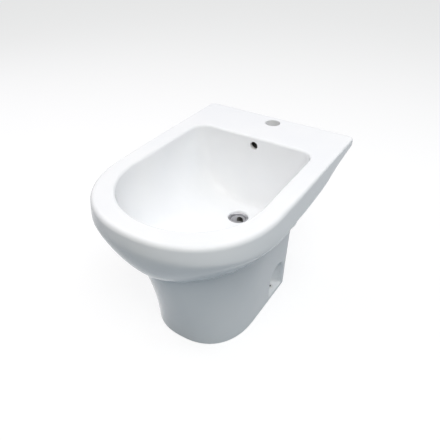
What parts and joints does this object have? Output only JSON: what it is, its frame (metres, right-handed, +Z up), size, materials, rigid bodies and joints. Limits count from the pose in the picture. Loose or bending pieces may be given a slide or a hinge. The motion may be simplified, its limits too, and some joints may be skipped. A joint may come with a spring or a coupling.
{
  "type": "floor standing bidet",
  "caption": "White floor standing bidet with a rounded nose, an open bowl, a tap hole in the rear deck, an overflow and a slotted waste, on a hollow pedestal with side fixing niches.",
  "frame": {"origin": "on the floor, under the middle of the whole body's length and width", "axes": "+Z up, -Y towards the rounded nose, +Y towards the wall behind the deck, +X to the right seen from the nose"},
  "size_m": [0.384, 0.552, 0.37],
  "materials": {
    "glazed_china": "glossy white glaze",
    "chromed_brass": "bright chrome plate",
    "seal_rubber": "matte black",
    "gasket_rubber": "matte black",
    "washer_plastic": "milky natural plastic",
    "raw_brass": "turned, slightly dull",
    "bush_plastic": "satin white nylon"
  },
  "bodies": {
    "root": {"ceramic_body": "glazed_china", "waste_body": "chromed_brass", "flange_seal": "seal_rubber", "under_gasket": "gasket_rubber", "slip_washer": "washer_plastic", "backnut": "raw_brass", "fixing_bush_left": "bush_plastic", "fixing_bush_right": "bush_plastic"}
  },
  "joints": []
}
